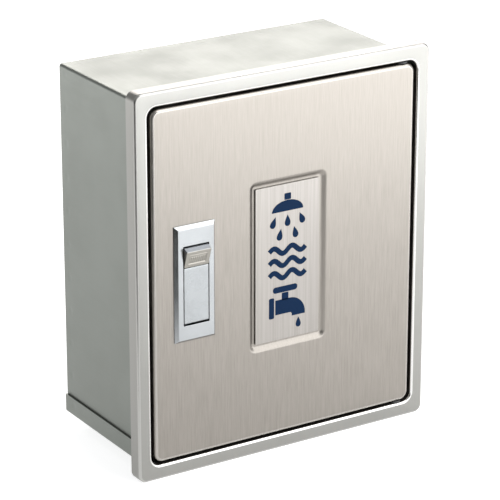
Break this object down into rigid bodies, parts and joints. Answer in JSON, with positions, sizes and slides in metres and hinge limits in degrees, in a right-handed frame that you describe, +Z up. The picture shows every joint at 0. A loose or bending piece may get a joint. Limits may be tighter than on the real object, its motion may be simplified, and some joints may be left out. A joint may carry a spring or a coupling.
{
  "type": "wall-recessed standpipe cabinet",
  "caption": "Stainless wall-recessed cabinet for a water tap: folded box, channel frame and hinged pan door with a push-and-pull flush latch and a pictogram plate.",
  "frame": {"origin": "centre of the back panel's outer face", "axes": "+Z up, +X to the right seen from the front, +Y out of the back panel, into the wall"},
  "size_m": [0.2, 0.1061, 0.235],
  "materials": {
    "hairline_stainless": "vertical hairline grain",
    "frame_stainless": "fine satin with polished folds",
    "mill_stainless": "smooth mill finish",
    "chrome_plate": "polished chrome plate",
    "button_metal": "satin plated",
    "zinc_casting": "dull zinc plate",
    "steel_pin": "bright drawn",
    "spring_steel": "oiled spring wire",
    "black_rubber": "matte",
    "nylon": "black",
    "navy_print": "screen-printed ink"
  },
  "bodies": {
    "cabinet": {"body_wrap": "mill_stainless", "bottom_tray": "mill_stainless", "back_panel": "mill_stainless", "pipe_grommet": "black_rubber", "front_frame": "frame_stainless", "pivot_rivet_upper": "steel_pin", "pivot_rivet_lower": "steel_pin", "pivot_washer_upper": "nylon", "pivot_washer_lower": "nylon", "keeper": "mill_stainless", "stop_bracket_upper": "mill_stainless", "stop_bracket_lower": "mill_stainless", "stop_pad_upper": "black_rubber", "stop_pad_lower": "black_rubber"},
    "door": {"door_panel": "hairline_stainless", "name_plate": "hairline_stainless", "hinge_doubler_upper": "mill_stainless", "hinge_doubler_lower": "mill_stainless", "latch_bezel": "chrome_plate", "latch_case": "zinc_casting", "latch_cover": "zinc_casting", "latch_clamp": "zinc_casting", "latch_screw_upper": "steel_pin", "latch_screw_lower": "steel_pin", "button_pin": "steel_pin", "handle_pin": "steel_pin", "button_spring": "spring_steel", "button_spring_pin": "steel_pin", "handle_spring": "spring_steel", "handle_spring_pin": "steel_pin"},
    "button": {"push_button": "button_metal"},
    "handle": {"pull_handle": "chrome_plate"},
    "bolt": {"latch_bolt": "zinc_casting"}
  },
  "joints": [
    {"name": "door_hinge", "type": "hinge", "parent": "cabinet", "child": "door", "pos_m": [0.0822, -0.096, 0], "axis": [0, 0, 1], "range_deg": [0, 110]},
    {"name": "button_push", "type": "hinge", "parent": "door", "child": "button", "pos_m": [-0.0623, -0.0985, 0.0129], "axis": [-1, 0, 0], "range_deg": [0, 10], "stiffness_Nm_per_rad": 0.12, "springref_deg": -5.73},
    {"name": "handle_pull", "type": "hinge", "parent": "door", "child": "handle", "pos_m": [-0.0623, -0.1008, -0.0218], "axis": [1, 0, 0], "range_deg": [0, 35], "stiffness_Nm_per_rad": 0.1, "springref_deg": -11.46},
    {"name": "bolt_slide", "type": "slide", "parent": "door", "child": "bolt", "axis": [1, 0, 0], "range_m": [0, 0.0065]}
  ],
  "couplings": [
    {"joint": "bolt_slide", "follows": "handle_pull", "m_per_rad": 0.0106}
  ]
}
